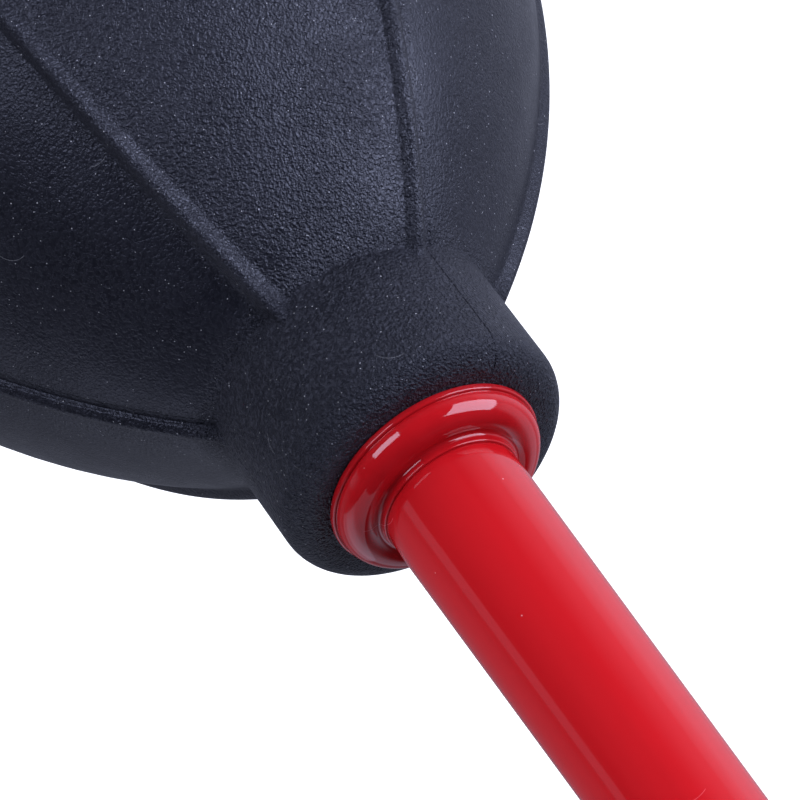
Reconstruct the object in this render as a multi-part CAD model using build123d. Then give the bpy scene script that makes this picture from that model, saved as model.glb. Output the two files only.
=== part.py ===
"""Rubber dust blower bulb with a plastic nozzle, standing on three fins.

Millimetres. +Z runs up the axis to the nozzle's tip. The origin is the centre of the
three feet, on the surface that the bulb stands on.
"""

import math
import os

from build123d import *

# ---- driving dimensions ----
SEAT_Z = 112.0  # front face of the rubber collar, where the nozzle flange sits
NOZZLE_LENGTH = 72.0  # from the collar's front face to the tip
BULB_R = 30.9  # widest radius of the rubber, between the ribs
BELLY_BELOW_SEAT = 56.5  # the widest place
SHOULDER_ARC_R = 62.0  # arc from the widest place up to the collar
TAIL_ARC_R = 54.6  # arc from the widest place down to the tail
WALL = 3.0
FIT = 0.05  # radial clearance of pieces that slide or turn in each other
PRESS_GAP = 0.02  # drawn clearance of pieces pressed into each other

# ---- rubber bulb ----
COLLAR_R = 9.95
COLLAR_EDGE_R = 1.95
COLLAR_BORE_R = 5.6
TAIL_R = 13.0
TAIL_Z = 11.0  # underside of the tail, above the feet
TAIL_EDGE_R = 1.0
TAIL_BORE_R = 8.6
CAVITY_FLOOR_Z = 18.0
RIB_COUNT = 6
RIB_HEIGHT = 0.5
RIB_WIDTH = 1.0
RIB_START_Z = 17.0

# ---- fins, in line with every second rib ----
FIN_ANGLES = (60.0, 180.0, 300.0)
FIN_THICKNESS = 4.2
FIN_TOP_Z = 50.0
FIN_OUTER_R = 31.6
FOOT_INNER_R = 24.0
FIN_EDGE_R = 1.4
FIN_ARCH_END = (11.5, 13.0)  # radius and height where the arch under a fin meets the tail
FIN_ARCH_SAG = 1.6  # how far that arch bows in from a straight line

# ---- nozzle flange ----
DISC_R = 7.35
DISC_THICKNESS = 0.45
GROOVE_R = 6.8
GROOVE_TOP = 0.62
BEAD_CENTRE_R = 5.75
BEAD_SECTION_R = 1.41
DISH_R = 5.15
DISH_HEIGHT = 1.55
BOSS_R = 4.8
BOSS_HEIGHT = 2.45
PLUG_LENGTH = 12.6
LIP_R = 6.3
LIP_TOP = 11.2  # depth of the lip's upper edge below the seat
SPIGOT_BORE_R = 3.7
SPIGOT_BORE_DEPTH = 6.6
PASSAGE_R = 2.0

# ---- outlet check valve, inside the plug ----
CHAMBER_R = 4.2
CHAMBER_TOP = 8.3  # depth below the seat
STOP_RIB_DEPTH = 1.0
STOP_RIB_COUNT = 4
STOP_RIB_WIDTH = 0.8
STOP_RIB_INNER_R = 1.2
OUTLET_SEAT_THICKNESS = 1.2
OUTLET_SEAT_HOLE_R = 2.0
OUTLET_DISC_R = 3.3
OUTLET_DISC_THICKNESS = 0.9
VALVE_LIFT = 1.2

# ---- nozzle tube ----
TUBE_R = 4.7
TUBE_FOOT_R = 4.1
TUBE_SHOULDER_Z = 4.7  # height above the seat where the full radius starts
TUBE_BARREL_END_Z = 45.0
TUBE_BARREL_END_R = 4.35
TIP_LAND_R = 2.9
TIP_LAND_LENGTH = 9.4
TIP_EDGE_R = 0.5
TUBE_BORE_R = 2.0
TIP_BORE_R = 1.4
TIP_BORE_LENGTH = 9.0
SPIGOT_LENGTH = 6.0
SEAL_SECTION_R = 0.45
SEAL_GROOVE_R = 2.7
SEAL_DEPTH = 2.4  # depth of the seal's centre below the seat

# ---- inlet valve, in the tail ----
INLET_RING_R = 10.8
INLET_RING_Z = 9.6
INLET_RING_EDGE_R = 0.6
INLET_LIP_R = 9.4
INLET_LIP_Z = 18.2
INLET_TOP_Z = 19.4
COVER_POCKET_R = 7.4
WEB_Z = 13.2
WEB_THICKNESS = 1.2
INLET_CHAMBER_R = 6.4
WEB_HOLE_COUNT = 6
WEB_HOLE_R = 1.0
WEB_HOLE_RING_R = 2.9
INLET_DISC_R = 5.2
INLET_DISC_THICKNESS = 0.9
CAGE_THICKNESS = 1.2
CAGE_HOLE_COUNT = 5
CAGE_HOLE_R = 1.5
CAGE_HOLE_RING_R = 4.0
FILTER_THICKNESS = 1.5
COVER_THICKNESS = 1.5
COVER_HOLE_R = 0.7
COVER_HOLE_RINGS = ((1, 0.0), (6, 2.3), (12, 4.7))  # hole count and ring radius

BELLY_Z = SEAT_Z - BELLY_BELOW_SEAT
TIP_Z = SEAT_Z + NOZZLE_LENGTH


def arc_radius(z, arc_r, offset=0.0):
    """Radius of the bulb's outline at height z, on the arc arc_r, moved out by offset."""
    reach = arc_r + offset
    return BULB_R - arc_r + math.sqrt(reach**2 - (z - BELLY_Z) ** 2)


def arc_height(r, arc_r, offset, side):
    """Height where that arc has radius r: side is 1 above the widest place, -1 below."""
    reach = arc_r + offset
    return BELLY_Z + side * math.sqrt(reach**2 - (r - BULB_R + arc_r) ** 2)


def arc_middle(z, arc_r, offset):
    """A point half way, in height, between the widest place and z."""
    middle = (z + BELLY_Z) / 2
    return (arc_radius(middle, arc_r, offset), middle)


def spun(profile):
    """Solid of revolution about Z from edges drawn as (radius, height)."""
    return revolve(Plane.XZ * make_face(profile), Axis.Z)


def ring(outer_r, inner_r, low, high):
    """Plain ring between two heights."""
    outer = Pos(0, 0, low) * Cylinder(outer_r, high - low, align=(Align.CENTER, Align.CENTER, Align.MIN))
    if inner_r == 0:
        return outer
    cut = Pos(0, 0, low) * Cylinder(inner_r, high - low, align=(Align.CENTER, Align.CENTER, Align.MIN))
    return outer - cut


def hole_ring(count, ring_r, hole_r, low, high):
    """Round holes evenly spaced on a circle, as solids to cut away."""
    holes = []
    for turn in range(count):
        place = Rot(0, 0, 360 * turn / count) * Pos(ring_r, 0, low)
        holes.append(place * Cylinder(hole_r, high - low, align=(Align.CENTER, Align.CENTER, Align.MIN)))
    return holes


def bulb_form(offset, tail_z):
    """Closed form of the bulb's two arcs, from the tail plane to the collar's foot."""
    collar_z = arc_height(COLLAR_R, SHOULDER_ARC_R, offset, 1)
    tail_arc_z = max(tail_z, arc_height(TAIL_R, TAIL_ARC_R, offset, -1))
    tail_r = arc_radius(tail_arc_z, TAIL_ARC_R, offset)
    outline = [
        Line((0, tail_z), (tail_r, tail_z)),
        ThreePointArc(
            (tail_r, tail_arc_z),
            arc_middle(tail_arc_z, TAIL_ARC_R, offset),
            (BULB_R + offset, BELLY_Z),
        ),
        ThreePointArc(
            (BULB_R + offset, BELLY_Z),
            arc_middle(collar_z, SHOULDER_ARC_R, offset),
            (COLLAR_R, collar_z),
        ),
        Line((COLLAR_R, collar_z), (0, collar_z)),
        Line((0, collar_z), (0, tail_z)),
    ]
    if tail_arc_z > tail_z:
        outline.insert(1, Line((tail_r, tail_z), (tail_r, tail_arc_z)))
    return spun(outline)


def cavity_form():
    """The air space: the outline set in by the wall, with a flat floor over the tail."""
    neck_z = arc_height(COLLAR_BORE_R, SHOULDER_ARC_R, -WALL, 1)
    floor_r = arc_radius(CAVITY_FLOOR_Z, TAIL_ARC_R, -WALL)
    return spun(
        [
            Line((0, CAVITY_FLOOR_Z), (floor_r, CAVITY_FLOOR_Z)),
            ThreePointArc(
                (floor_r, CAVITY_FLOOR_Z),
                arc_middle(CAVITY_FLOOR_Z, TAIL_ARC_R, -WALL),
                (BULB_R - WALL, BELLY_Z),
            ),
            ThreePointArc(
                (BULB_R - WALL, BELLY_Z),
                arc_middle(neck_z, SHOULDER_ARC_R, -WALL),
                (COLLAR_BORE_R, neck_z),
            ),
            Line((COLLAR_BORE_R, neck_z), (0, neck_z)),
            Line((0, neck_z), (0, CAVITY_FLOOR_Z)),
        ]
    )


def fin(angle):
    """One fin: a plate from the widest place down to its foot, with rounded edges."""
    top_r = arc_radius(FIN_TOP_Z, TAIL_ARC_R) - WALL / 2
    arch_start = (FOOT_INNER_R, 0)
    arch_middle = (
        (arch_start[0] + FIN_ARCH_END[0]) / 2 - FIN_ARCH_SAG,
        (arch_start[1] + FIN_ARCH_END[1]) / 2 - FIN_ARCH_SAG,
    )
    outline = [
        Line(arch_start, (FIN_OUTER_R, 0)),
        Line((FIN_OUTER_R, 0), (FIN_OUTER_R, FIN_TOP_Z)),
        Line((FIN_OUTER_R, FIN_TOP_Z), (top_r, FIN_TOP_Z)),
        Line((top_r, FIN_TOP_Z), FIN_ARCH_END),
        ThreePointArc(FIN_ARCH_END, arch_middle, arch_start),
    ]
    plate = extrude(Plane.XZ * make_face(outline), FIN_THICKNESS / 2, both=True)
    outer_edges = plate.edges().filter_by(Axis.Z).group_by(Axis.X)[-1]
    plate = fillet(outer_edges, FIN_EDGE_R)
    return Rot(0, 0, angle) * plate


def rib_plates():
    """Thin radial plates that pick the ribs out of a slightly larger bulb form."""
    plates = []
    for turn in range(RIB_COUNT):
        plate = Pos(BULB_R / 2 + RIB_HEIGHT, 0, 0) * Box(BULB_R + 2 * RIB_HEIGHT, RIB_WIDTH, SEAT_Z * 2)
        plates.append(Rot(0, 0, 360 * turn / RIB_COUNT) * plate)
    return plates


def bulb():
    """The rubber moulding: collar, ribbed bulb, tail and three fins in one piece."""
    collar_foot_z = arc_height(COLLAR_R, SHOULDER_ARC_R, 0, 1)
    collar = ring(COLLAR_R, 0, collar_foot_z, SEAT_Z)
    collar = fillet(collar.edges().group_by(Axis.Z)[-1], COLLAR_EDGE_R)
    body = bulb_form(0, TAIL_Z)
    body = fillet(body.edges().group_by(Axis.Z)[0], TAIL_EDGE_R)
    rib_skin = bulb_form(RIB_HEIGHT, RIB_START_Z)
    ribs = [rib_skin & plate for plate in rib_plates()]
    fins = [fin(angle) for angle in FIN_ANGLES]
    solid = body + collar + ribs + fins
    solid -= cavity_form()
    solid -= ring(COLLAR_BORE_R, 0, SEAT_Z - BELLY_BELOW_SEAT / 2, SEAT_Z + 1)
    solid -= ring(TAIL_BORE_R, 0, TAIL_Z - 1, CAVITY_FLOOR_Z + 1)
    return solid


def flange_outline():
    """Half section of the flange from its axis: plug, lip, disc, bead, dish and boss."""
    plug_r = COLLAR_BORE_R - FIT
    plug_end = SEAT_Z - PLUG_LENGTH
    lip_z = SEAT_Z - LIP_TOP
    bead_z = SEAT_Z + GROOVE_TOP
    crest = (BEAD_CENTRE_R, bead_z + BEAD_SECTION_R)
    bead_foot = (BEAD_CENTRE_R + BEAD_SECTION_R, bead_z)
    bead_middle = (
        BEAD_CENTRE_R + BEAD_SECTION_R * math.cos(math.radians(45)),
        bead_z + BEAD_SECTION_R * math.sin(math.radians(45)),
    )
    dish = (DISH_R, SEAT_Z + DISH_HEIGHT)
    dish_middle = (
        (crest[0] + dish[0]) / 2 - 0.12,
        (crest[1] + dish[1]) / 2 + 0.05,
    )
    boss_top = SEAT_Z + BOSS_HEIGHT
    return [
        Line((0, plug_end), (plug_r, plug_end)),
        Line((plug_r, plug_end), (LIP_R, lip_z)),
        Line((LIP_R, lip_z), (plug_r, lip_z)),
        Line((plug_r, lip_z), (plug_r, SEAT_Z)),
        Line((plug_r, SEAT_Z), (DISC_R, SEAT_Z)),
        Line((DISC_R, SEAT_Z), (DISC_R, SEAT_Z + DISC_THICKNESS)),
        Line((DISC_R, SEAT_Z + DISC_THICKNESS), (GROOVE_R, SEAT_Z + DISC_THICKNESS)),
        Line((GROOVE_R, SEAT_Z + DISC_THICKNESS), (GROOVE_R, bead_z)),
        Line((GROOVE_R, bead_z), bead_foot),
        ThreePointArc(bead_foot, bead_middle, crest),
        ThreePointArc(crest, dish_middle, dish),
        Line(dish, (BOSS_R, SEAT_Z + DISH_HEIGHT)),
        Line((BOSS_R, SEAT_Z + DISH_HEIGHT), (BOSS_R, boss_top)),
        Line((BOSS_R, boss_top), (0, boss_top)),
        Line((0, boss_top), (0, plug_end)),
    ]


def nozzle_flange():
    """Flange moulding: a lipped plug in the collar, with a socket for the tube."""
    solid = spun(flange_outline())
    solid -= ring(SPIGOT_BORE_R, 0, SEAT_Z - SPIGOT_BORE_DEPTH, SEAT_Z + BOSS_HEIGHT + 1)
    solid -= ring(PASSAGE_R, 0, SEAT_Z - PLUG_LENGTH, SEAT_Z)
    solid -= ring(CHAMBER_R, 0, SEAT_Z - PLUG_LENGTH - 1, SEAT_Z - CHAMBER_TOP)
    rib_low = SEAT_Z - CHAMBER_TOP - STOP_RIB_DEPTH
    rib_length = CHAMBER_R + 0.5 - STOP_RIB_INNER_R
    for turn in range(STOP_RIB_COUNT):
        rib = Pos(STOP_RIB_INNER_R, 0, rib_low) * Box(
            rib_length,
            STOP_RIB_WIDTH,
            STOP_RIB_DEPTH + 0.5,
            align=(Align.MIN, Align.CENTER, Align.MIN),
        )
        solid += Rot(0, 0, 360 * turn / STOP_RIB_COUNT) * rib
    return solid


def outlet_seat_top():
    """Height of the outlet disc's underside when the valve is shut."""
    return SEAT_Z - CHAMBER_TOP - STOP_RIB_DEPTH - VALVE_LIFT - OUTLET_DISC_THICKNESS


def outlet_valve_seat():
    """Ring pressed into the plug's open end, which the outlet disc closes on."""
    top = outlet_seat_top()
    return ring(CHAMBER_R - PRESS_GAP, OUTLET_SEAT_HOLE_R, top - OUTLET_SEAT_THICKNESS, top)


def outlet_valve_disc():
    """Silicone disc that lifts off its seat when the bulb is squeezed."""
    low = outlet_seat_top()
    disc = ring(OUTLET_DISC_R, 0, low, low + OUTLET_DISC_THICKNESS)
    return fillet(disc.edges().filter_by(GeomType.CIRCLE), OUTLET_DISC_THICKNESS / 4)


def tube_outline():
    """Half section of the nozzle tube from its axis, without its bore."""
    foot_z = SEAT_Z + BOSS_HEIGHT + FIT
    spigot_r = SPIGOT_BORE_R - FIT
    spigot_end = SEAT_Z - SPIGOT_LENGTH
    shoulder = (TUBE_R, SEAT_Z + TUBE_SHOULDER_Z)
    barrel_end = (TUBE_BARREL_END_R, SEAT_Z + TUBE_BARREL_END_Z)
    land_start = (TIP_LAND_R, TIP_Z - TIP_EDGE_R - TIP_LAND_LENGTH)
    return {
        "foot": (TUBE_FOOT_R, foot_z),
        "spigot_r": spigot_r,
        "spigot_end": spigot_end,
        "shoulder": shoulder,
        "barrel_end": barrel_end,
        "land_start": land_start,
    }


def nozzle_tube():
    """Tube with a spigot that pushes into the flange, a long barrel and a fine tip."""
    p = tube_outline()
    foot_r, foot_z = p["foot"]
    land_start = p["land_start"]
    tip_r = TIP_LAND_R - TIP_EDGE_R
    edge_z = TIP_Z - TIP_EDGE_R
    round_off = TIP_EDGE_R * math.sin(math.radians(45))
    barrel = Line(p["shoulder"], p["barrel_end"])
    lead = Spline(
        p["barrel_end"],
        land_start,
        tangents=(barrel % 1, (0, 1)),
    )
    shoulder_arc = TangentArc(p["shoulder"], (foot_r, foot_z), tangent=(0, -1))
    outline = [
        Line((0, p["spigot_end"]), (p["spigot_r"], p["spigot_end"])),
        Line((p["spigot_r"], p["spigot_end"]), (p["spigot_r"], foot_z)),
        Line((p["spigot_r"], foot_z), (foot_r, foot_z)),
        shoulder_arc,
        barrel,
        lead,
        Line(land_start, (TIP_LAND_R, edge_z)),
        ThreePointArc((TIP_LAND_R, edge_z), (tip_r + round_off, edge_z + round_off), (tip_r, TIP_Z)),
        Line((tip_r, TIP_Z), (0, TIP_Z)),
        Line((0, TIP_Z), (0, p["spigot_end"])),
    ]
    solid = spun(outline)
    bore_end = TIP_Z - TIP_BORE_LENGTH
    solid -= ring(TUBE_BORE_R, 0, p["spigot_end"] - 1, bore_end)
    solid -= ring(TIP_BORE_R, 0, bore_end - 1, TIP_Z + 1)
    groove_half = SEAL_SECTION_R + FIT
    seal_z = SEAT_Z - SEAL_DEPTH
    solid -= ring(SPIGOT_BORE_R + 1, SEAL_GROOVE_R, seal_z - groove_half, seal_z + groove_half)
    return solid


def nozzle_seal_ring():
    """Rubber ring in the spigot's groove, which holds the tube and stops leaks."""
    centre_r = SEAL_GROOVE_R + FIT + SEAL_SECTION_R
    return Pos(0, 0, SEAT_Z - SEAL_DEPTH) * Torus(centre_r, SEAL_SECTION_R)


def inlet_valve_body():
    """Plug in the tail: an outer ring, a pocket for the filter and a disc chamber."""
    outer = ring(INLET_RING_R, 0, INLET_RING_Z, TAIL_Z)
    outer = fillet(outer.edges().group_by(Axis.Z)[0], INLET_RING_EDGE_R)
    outer += ring(TAIL_BORE_R, 0, TAIL_Z, INLET_TOP_Z)
    outer += Pos(0, 0, INLET_LIP_Z) * Cone(
        INLET_LIP_R,
        TAIL_BORE_R,
        INLET_TOP_Z - INLET_LIP_Z,
        align=(Align.CENTER, Align.CENTER, Align.MIN),
    )
    web_top = WEB_Z + WEB_THICKNESS
    outer -= ring(COVER_POCKET_R, 0, INLET_RING_Z - 1, WEB_Z)
    outer -= ring(INLET_CHAMBER_R, 0, web_top, INLET_TOP_Z + 1)
    outer -= hole_ring(WEB_HOLE_COUNT, WEB_HOLE_RING_R, WEB_HOLE_R, WEB_Z - 1, web_top + 1)
    return outer


def inlet_valve_disc():
    """Silicone disc that lifts to let air in as the bulb springs back."""
    low = WEB_Z + WEB_THICKNESS
    disc = ring(INLET_DISC_R, 0, low, low + INLET_DISC_THICKNESS)
    return fillet(disc.edges().filter_by(GeomType.CIRCLE), INLET_DISC_THICKNESS / 4)


def inlet_valve_cage():
    """Pierced cap pressed in over the inlet disc, which limits its lift."""
    low = WEB_Z + WEB_THICKNESS + INLET_DISC_THICKNESS + VALVE_LIFT
    high = low + CAGE_THICKNESS
    cage = ring(INLET_CHAMBER_R - PRESS_GAP, 0, low, high)
    cage -= hole_ring(CAGE_HOLE_COUNT, CAGE_HOLE_RING_R, CAGE_HOLE_R, low - 1, high + 1)
    return cage


def inlet_filter():
    """Foam disc that keeps dust out of the bulb."""
    return ring(COVER_POCKET_R - PRESS_GAP, 0, WEB_Z - FILTER_THICKNESS, WEB_Z)


def filter_cover():
    """Pierced cover snapped into the tail plug, under the filter."""
    high = WEB_Z - FILTER_THICKNESS
    low = high - COVER_THICKNESS
    cover = ring(COVER_POCKET_R - PRESS_GAP, 0, low, high)
    for count, ring_r in COVER_HOLE_RINGS:
        cover -= hole_ring(count, ring_r, COVER_HOLE_R, low - 1, high + 1)
    return cover


NODES = {
    "bulb": bulb,
    "nozzle_flange": nozzle_flange,
    "nozzle_tube": nozzle_tube,
    "nozzle_seal_ring": nozzle_seal_ring,
    "outlet_valve_seat": outlet_valve_seat,
    "outlet_valve_disc": outlet_valve_disc,
    "inlet_valve_body": inlet_valve_body,
    "inlet_valve_disc": inlet_valve_disc,
    "inlet_valve_cage": inlet_valve_cage,
    "inlet_filter": inlet_filter,
    "filter_cover": filter_cover,
}

os.makedirs("parts", exist_ok=True)
for name, make in NODES.items():
    export_step(make(), f"parts/{name}.step")
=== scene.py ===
"""Looks of the dust blower bulb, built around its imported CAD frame.

Shapes are worked out in millimetres, in the frame's own axes: +Z up the bulb's axis to the
nozzle's tip, origin on the surface that the three fins stand on. Blender's metres are
reached through MM only where vertices, lights and the camera are made.
"""

import math

import bpy
from mathutils import Matrix, Vector, noise


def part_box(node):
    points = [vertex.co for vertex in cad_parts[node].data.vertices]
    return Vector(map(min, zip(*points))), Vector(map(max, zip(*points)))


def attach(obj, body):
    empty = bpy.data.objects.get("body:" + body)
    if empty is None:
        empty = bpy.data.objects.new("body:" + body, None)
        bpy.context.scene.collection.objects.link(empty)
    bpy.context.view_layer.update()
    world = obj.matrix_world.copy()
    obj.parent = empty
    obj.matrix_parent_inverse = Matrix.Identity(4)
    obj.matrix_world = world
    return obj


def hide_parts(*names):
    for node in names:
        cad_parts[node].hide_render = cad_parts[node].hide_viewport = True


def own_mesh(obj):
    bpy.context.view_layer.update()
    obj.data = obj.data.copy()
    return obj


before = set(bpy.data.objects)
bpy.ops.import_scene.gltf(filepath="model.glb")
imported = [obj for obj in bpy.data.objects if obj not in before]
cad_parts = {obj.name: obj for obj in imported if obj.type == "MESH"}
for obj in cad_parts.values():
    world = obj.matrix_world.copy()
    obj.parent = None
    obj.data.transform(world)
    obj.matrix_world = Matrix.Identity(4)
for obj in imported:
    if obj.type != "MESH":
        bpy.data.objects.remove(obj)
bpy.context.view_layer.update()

MM = 0.001
TURN = 2 * math.pi

# ---- sizes taken from the frame ----
SEAT_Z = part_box("bulb")[1].z / MM  # the collar's front face
TIP_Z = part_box("nozzle_tube")[1].z / MM
BULB_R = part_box("bulb")[1].y / MM  # widest radius of the rubber between the ribs

# ---- rubber bulb ----
BELLY_Z = SEAT_Z - 56.5
SHOULDER_ARC_R = 62.0
TAIL_ARC_R = 54.6
WALL = 3.0
COLLAR_R = 9.95
COLLAR_EDGE_R = 1.95
COLLAR_FILLET = 0.18  # reach of the hollow corner at the collar's foot
COLLAR_BORE_R = 5.6
TAIL_R = 13.0
TAIL_Z = 11.0
TAIL_EDGE_R = 1.0
TAIL_BORE_R = 8.6
CAVITY_FLOOR_Z = 18.0
RIB_COUNT = 6
RIB_LOW = 0.34  # rib height at the belly
RIB_HIGH = 0.58  # rib height at the collar
RIB_HALF = 0.72
RIB_GROWS = (66.0, 100.0)  # heights between which the ribs get higher
RIB_SPREAD = 1.35  # how much wider the seamless ribs get at the collar
RIB_SPREADS = (70.0, 102.0)  # heights between which they do
RIB_START_Z = 17.0
RIB_FADE = 6.0
RIB_WANDER = (1.5, 0.0, 0.0, 1.0, 0.7, 3.0)  # degrees that each rib strays by at the collar
RIB_STRAYS = (58.0, 84.0)  # heights between which it strays
PANEL_SAG = 0.18  # how much flatter than round the bulb is between its ribs
SEAM_X = -0.66  # the mould's parting line runs along one foot of every second rib
SEAM_DEPTH = 0.12
SEAM_WIDTH = 0.035
SEAM_END = -1.5  # nothing of the seam shows farther out than this
SEAM_STRIP_END = -1.2
SEAM_STRIP_DEPTH = 0.035  # how far the strip from there to the seam lies below the panel
OPEN_SEAM_RIB = 3  # the rib whose seam is mostly a crack; the others have mostly flash
FAINT = 0.25
FLASH_HEIGHT = 0.13
FLASH_X = SEAM_X + 0.07
FLASH_WIDTH = 0.06
SQUEEZE_FROM_Z = 30.0  # the bulb below this height doesn't move in a squeeze

# ---- fins ----
FIN_ANGLES = (60.0, 180.0, 300.0)
FIN_OUTER_R = 31.6
FIN_TOP_Z = 50.5
FIN_TAPER = 12.0  # height of the stretch that thins toward the fin's top
FIN_ROOT_HALF = 2.1
FIN_EDGE_HALF = 1.55
FIN_TOP_HALF = 0.55
FIN_EDGE_ROUND = 1.5
FOOT_INNER_R = 24.0
ARCH_END = (11.5, 13.0)  # radius and height where the arch under a fin meets the tail
ARCH_SAG = 1.6
ROOT_FILLET = 2.4

# ---- nozzle flange, heights above the seat ----
PLUG_R = 5.55
PLUG_END = -12.6
LIP_R = 6.3
LIP_TOP = -11.2
DISC_R = 7.33
DISC_TOP = 0.45
GROOVE_R = 7.08
BEAD_R = 5.75
BEAD_Z = 0.62
BEAD_SECTION_R = 1.41
BEAD_END = 112.0  # degrees of the bead's section before it dips to the boss
DISH_Z = 1.86
BOSS_R = 4.8
BOSS_Z = 2.45
SOCKET_R = 3.7
SOCKET_END = -6.6
PASSAGE_R = 2.0
CHAMBER_R = 4.2
CHAMBER_TOP = -8.3
STOP_RIB_COUNT = 4
STOP_RIB_WIDTH = 0.8
STOP_RIB_DEPTH = 1.0
STOP_RIB_INNER_R = 1.2
FLANGE_SEGMENTS = 240

# ---- nozzle tube, heights above the seat ----
SPIGOT_R = 3.65
SPIGOT_END = -6.0
TUBE_FOOT_R = 4.66
TUBE_FOOT_Z = 2.48
TUBE_R = 4.7
SHOULDER_Z = 4.9
BARREL_END_R = 4.35
BARREL_END_Z = 45.0
LAND_R = 2.9
LAND_LENGTH = 9.4
TIP_EDGE_R = 0.5
TUBE_BORE_R = 2.0
TIP_BORE_R = 1.4
TIP_BORE_LENGTH = 9.0
SEAL_Z = -2.4
SEAL_GROOVE_R = 2.7
SEAL_GROOVE_HALF = 0.5
TUBE_SEGMENTS = 192

# ---- view ----
VIEW_AZIMUTH = math.radians(-40)
VIEW_ELEVATION = math.radians(35)
AXIS_DROP = math.radians(53.57)  # angle of the bulb's axis below the picture's horizontal
VIEW_DISTANCE = 310.0
LENS = 223.9
SEAT_RIGHT_OF_CENTRE = 2.06
SEAT_BELOW_CENTRE = 4.46

# ---- light ----
LIGHT_TINT = (0.94, 1.0, 1.30)
FLOOR_GLOW = 0.96  # brightness of the floor where no lamp reaches it
FLOOR_HALF = 4000.0
# Brightness of the room round the object, by degrees from the camera's side to the
# picture's right: dark behind the camera, a bright wall on the right, dimmer at the back.
ROOM = (
    (-180, 0.22), (-150, 0.16), (-90, 0.15), (-76, 0.08),
    (-73, 0.36), (-61, 0.36), (-59, 0.01), (34, 0.01),
    (66, 0.37), (79, 0.42), (81, 0.64), (106, 0.95), (140, 0.52), (179, 0.22),
)
# Heights below are sines of the elevation.
ROOM_FADES = (-0.32, 0.30)
ROOM_TOP = 0.04  # share of the room's brightness that is left above the fade
ROOM_BASE = 0.012  # even light that is added all round
BAND = 0.55  # brightness of a lighter band above the horizon at the back
BAND_STARTS = (0.02, 0.20)
BAND_ENDS = (0.42, 0.62)


def smooth(low, high, value):
    """Smooth step from 0 at low to 1 at high."""
    t = min(1.0, max(0.0, (value - low) / (high - low)))
    return t * t * (3 - 2 * t)


def mix(a, b, t):
    return a + (b - a) * t


# ---------------------------------------------------------------- meshes


def mesh_object(name, verts, faces, material):
    """Smooth-shaded object from vertices in millimetres."""
    mesh = bpy.data.meshes.new(name)
    mesh.from_pydata([Vector(v) * MM for v in verts], [], faces)
    mesh.polygons.foreach_set("use_smooth", [True] * len(mesh.polygons))
    mesh.validate()
    mesh.update()
    obj = bpy.data.objects.new(name, mesh)
    bpy.context.collection.objects.link(obj)
    mesh.materials.append(material)
    return obj


def grid_faces(rings, ring_size, closed):
    """Quads between neighbouring rings of vertices, also from the last to the first if closed."""
    faces = []
    last = rings if closed else rings - 1
    for i in range(last):
        below = i * ring_size
        above = ((i + 1) % rings) * ring_size
        for j in range(ring_size):
            k = (j + 1) % ring_size
            faces.append((below + j, below + k, above + k, above + j))
    return faces


def turned(r, x, angle):
    """Point at distance r out and x across, turned round Z by an angle."""
    return r * math.cos(angle) - x * math.sin(angle), r * math.sin(angle) + x * math.cos(angle)


def joined(parts):
    """One vertex list and face list from several."""
    verts, faces = [], []
    for part_verts, part_faces in parts:
        shift = len(verts)
        verts.extend(part_verts)
        faces.extend(tuple(i + shift for i in face) for face in part_faces)
    return verts, faces


def filleted(corners, steps=5):
    """Closed outline through (radius, height, fillet) corners, its corners rounded off."""
    points = []
    count = len(corners)
    for i, (r, z, fillet) in enumerate(corners):
        here = Vector((r, z))
        if fillet == 0:
            points.append((r, z))
            continue
        back = Vector(corners[i - 1][:2]) - here
        on = Vector(corners[(i + 1) % count][:2]) - here
        half = back.angle(on) / 2
        reach = fillet / math.tan(half)
        start = here + back.normalized() * reach
        end = here + on.normalized() * reach
        centre = here + (back.normalized() + on.normalized()).normalized() * fillet / math.sin(half)
        for k in range(steps + 1):
            chord = start.lerp(end, k / steps)
            point = centre + (chord - centre).normalized() * fillet
            points.append((point.x, point.y))
    return points


def spun(outline, segments):
    """Ring spun about Z from a closed outline of (radius, height) points."""
    verts = []
    for r, z in outline:
        for j in range(segments):
            a = TURN * j / segments
            verts.append((r * math.cos(a), r * math.sin(a), z))
    return verts, grid_faces(len(outline), segments, True)


def moulding(name, parts, material):
    """Object from parts, with normals that keep its flat faces flat beside small fillets."""
    obj = mesh_object(name, *joined(parts), material)
    even = obj.modifiers.new("even_normals", "WEIGHTED_NORMAL")
    even.keep_sharp = True
    return obj


def lifted(outline, height):
    return [(r, z + height) for r, z in outline]


# ---------------------------------------------------------------- bulb shape


def tail_arc(angle, offset=0.0):
    """Radius, height and outward direction on the lower arc, angle below the belly."""
    reach = TAIL_ARC_R + offset
    r = BULB_R - TAIL_ARC_R + reach * math.cos(angle)
    return r, BELLY_Z - reach * math.sin(angle), (math.cos(angle), -math.sin(angle))


def shoulder_arc(angle, offset=0.0):
    """Radius, height and outward direction on the upper arc, angle above the belly."""
    reach = SHOULDER_ARC_R + offset
    r = BULB_R - SHOULDER_ARC_R + reach * math.cos(angle)
    return r, BELLY_Z + reach * math.sin(angle), (math.cos(angle), math.sin(angle))


def tail_angle(z, offset=0.0):
    return math.asin((BELLY_Z - z) / (TAIL_ARC_R + offset))


def angle_at_radius(r, arc_r, offset=0.0):
    return math.acos((r - BULB_R + arc_r) / (arc_r + offset))


def span(first, last, count):
    """Evenly spaced values from first to last, without last."""
    return [mix(first, last, i / count) for i in range(count)]


def body_radius(z):
    """Outer radius of the bulb between its ribs, below the belly."""
    tail_top = tail_arc(angle_at_radius(TAIL_R, TAIL_ARC_R))[1]
    if z < tail_top:
        return TAIL_R
    return tail_arc(tail_angle(z))[0]


# A row of the bulb is its radius, its height, the skin's outward direction there, and the
# lift: which way, and how much of it, a rib's height moves the skin.
INSIDE = (0.0, 0.0)


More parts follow.
